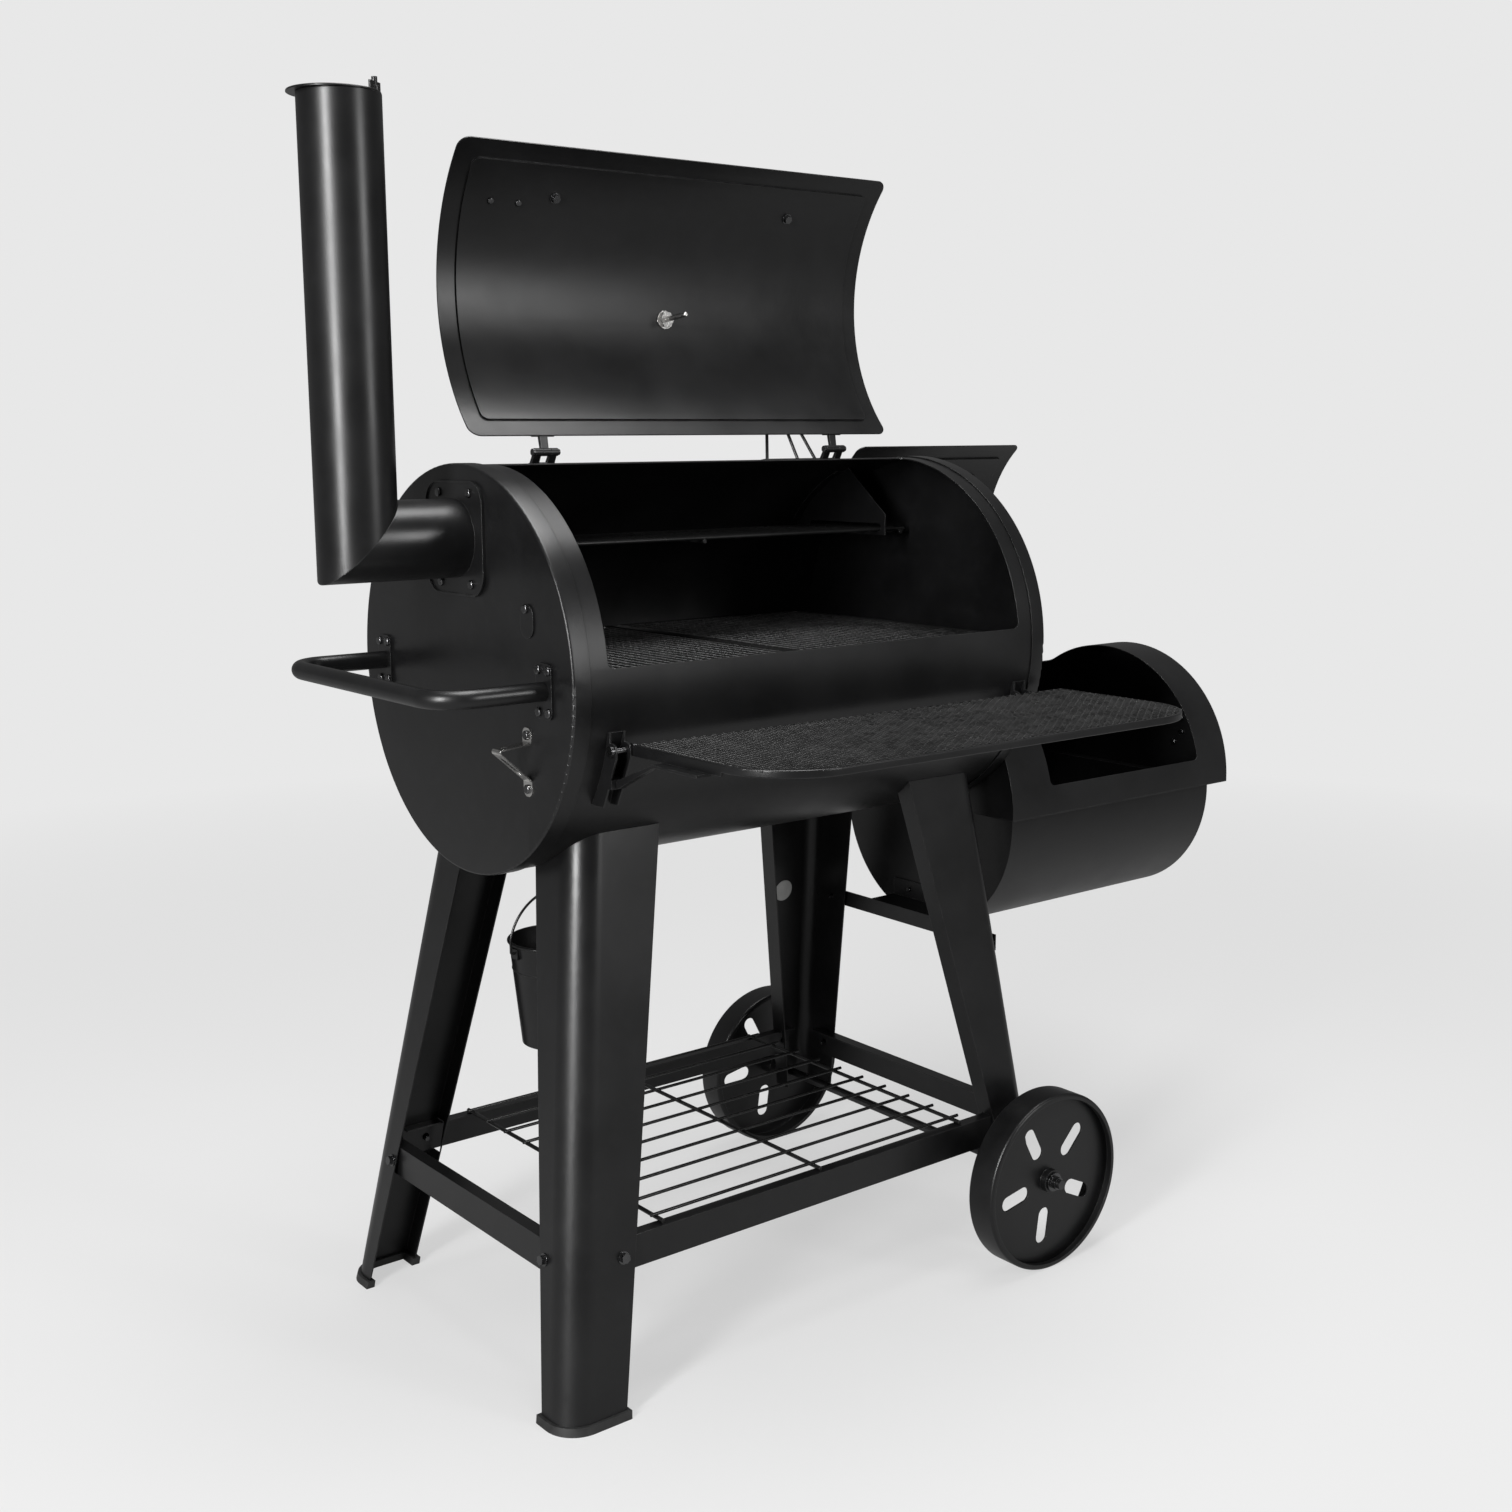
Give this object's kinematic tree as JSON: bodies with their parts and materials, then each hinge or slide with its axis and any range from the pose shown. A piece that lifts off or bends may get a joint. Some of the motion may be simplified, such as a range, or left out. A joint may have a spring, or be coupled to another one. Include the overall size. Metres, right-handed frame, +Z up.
{
  "type": "offset smoker",
  "caption": "Offset smoker with a drum cooking chamber, a side firebox, a mitred chimney, a mesh front shelf and a wheeled stand, both lids open.",
  "frame": {"origin": "bottom centre of the whole object's box, on the floor", "axes": "+Z up; +X along the drum, from the chimney end to the firebox end; -Y towards the front shelf"},
  "size_m": [1.3144, 0.78, 1.409],
  "materials": {
    "black_paint": "satin",
    "grate_steel": "satin",
    "black_steel": "blackened",
    "zinc_steel": "satin",
    "stainless": "brushed",
    "bezel_steel": "polished",
    "dial_white": "matte",
    "needle_red": "matte",
    "glass": "clear",
    "foot_plastic": "matte"
  },
  "bodies": {
    "root": {"leg_front_left": "black_paint", "leg_rear_left": "black_paint", "leg_front_right": "black_paint", "leg_rear_right": "black_paint", "foot_caps": "foot_plastic", "rail_left": "black_paint", "rail_right": "black_paint", "rail_front": "black_paint", "rail_rear": "black_paint", "stand_bolts": "black_steel", "firebox_brace": "black_paint", "bottom_wire_shelf": "grate_steel", "axle": "zinc_steel", "drum_shell": "black_paint", "drum_cap_left": "black_paint", "drum_cap_right": "black_paint", "grate_ledges": "black_paint", "cooking_grates": "grate_steel", "warming_rack": "grate_steel", "warming_rack_brackets": "black_paint", "hinge_fixed_leaves": "black_paint", "hinge_pins": "black_steel", "lid_rest_wires": "grate_steel", "drain_nipple": "black_paint", "side_handle": "black_paint", "side_handle_flanges": "black_paint", "cap_screws": "black_steel", "bottle_opener": "stainless", "flue_elbow": "black_paint", "chimney_pipe": "black_paint", "chimney_pivot": "black_paint", "shelf_brackets": "black_paint", "shelf_bolts": "black_steel", "firebox_hood": "black_paint", "firebox_trough": "black_paint", "fire_grate": "grate_steel", "firebox_bolts": "black_steel"},
    "lid": {"main_lid": "black_paint", "main_lid_hinge_leaves": "black_paint", "main_lid_handle": "black_paint", "main_lid_bolts": "black_steel", "nameplate_blank": "black_paint", "thermometer_case": "bezel_steel", "thermometer_dial": "dial_white", "thermometer_lens": "glass", "thermometer_stem": "stainless"},
    "dial_needle": {"thermometer_needle": "needle_red"},
    "fire_lid": {"firebox_lid": "black_paint", "firebox_lid_hinge_leaves": "black_paint", "firebox_lid_handle": "black_paint"},
    "stack_cap": {"chimney_cap": "black_paint"},
    "damper": {"damper_disc": "black_paint", "damper_knob": "black_paint"},
    "shelf": {"shelf_frame": "black_paint", "shelf_mesh": "black_paint"},
    "front_wheel": {"wheel_front": "black_paint"},
    "rear_wheel": {"wheel_rear": "black_paint"},
    "bail": {"bucket_bail": "grate_steel"},
    "pail": {"bucket": "black_paint"},
    "port_cover": {"probe_cover": "black_paint"}
  },
  "joints": [
    {"name": "main_lid_hinge", "type": "hinge", "parent": "root", "child": "lid", "pos_m": [-0.14015, 0.103, 1.033], "axis": [1, 0, 0], "range_deg": [0, 133.4]},
    {"name": "dial_needle_turn", "type": "hinge", "parent": "lid", "child": "dial_needle", "pos_m": [-0.14175, 0.17903, 1.18853], "axis": [0, -0.9947, 0.1028], "range_deg": [0, 270]},
    {"name": "firebox_lid_hinge", "type": "hinge", "parent": "root", "child": "fire_lid", "pos_m": [0.43325, 0.20313, 0.70755], "axis": [1, 0, 0], "range_deg": [0, 125]},
    {"name": "chimney_cap_swivel", "type": "hinge", "parent": "root", "child": "stack_cap", "pos_m": [-0.57575, 0.061, 1.3924], "axis": [0, 0, 1], "range_deg": [0, 110]},
    {"name": "firebox_damper_turn", "type": "hinge", "parent": "root", "child": "damper", "pos_m": [0.63125, 0.081, 0.475], "axis": [1, 0, 0], "range_deg": [0, 45]},
    {"name": "front_shelf_fold", "type": "hinge", "parent": "root", "child": "shelf", "pos_m": [-0.13275, -0.148, 0.731], "axis": [-1, 0, 0], "range_deg": [0, 65]},
    {"name": "front_wheel_spin", "type": "hinge", "parent": "root", "child": "front_wheel", "pos_m": [0.17525, -0.196, 0.115], "axis": [0, 1, 0], "continuous": true},
    {"name": "rear_wheel_spin", "type": "hinge", "parent": "root", "child": "rear_wheel", "pos_m": [0.17525, 0.358, 0.115], "axis": [0, 1, 0], "continuous": true},
    {"name": "bucket_bail_swing", "type": "hinge", "parent": "root", "child": "bail", "pos_m": [-0.36975, 0.081, 0.5266], "axis": [0, 1, 0], "range_deg": [-25, 25]},
    {"name": "bucket_tilt", "type": "hinge", "parent": "bail", "child": "pail", "pos_m": [-0.36975, 0.081, 0.461], "axis": [1, 0, 0], "range_deg": [-25, 25]},
    {"name": "probe_cover_swing", "type": "hinge", "parent": "root", "child": "port_cover", "pos_m": [-0.48875, -0.062, 0.875], "axis": [1, 0, 0], "range_deg": [-90, 90]}
  ]
}
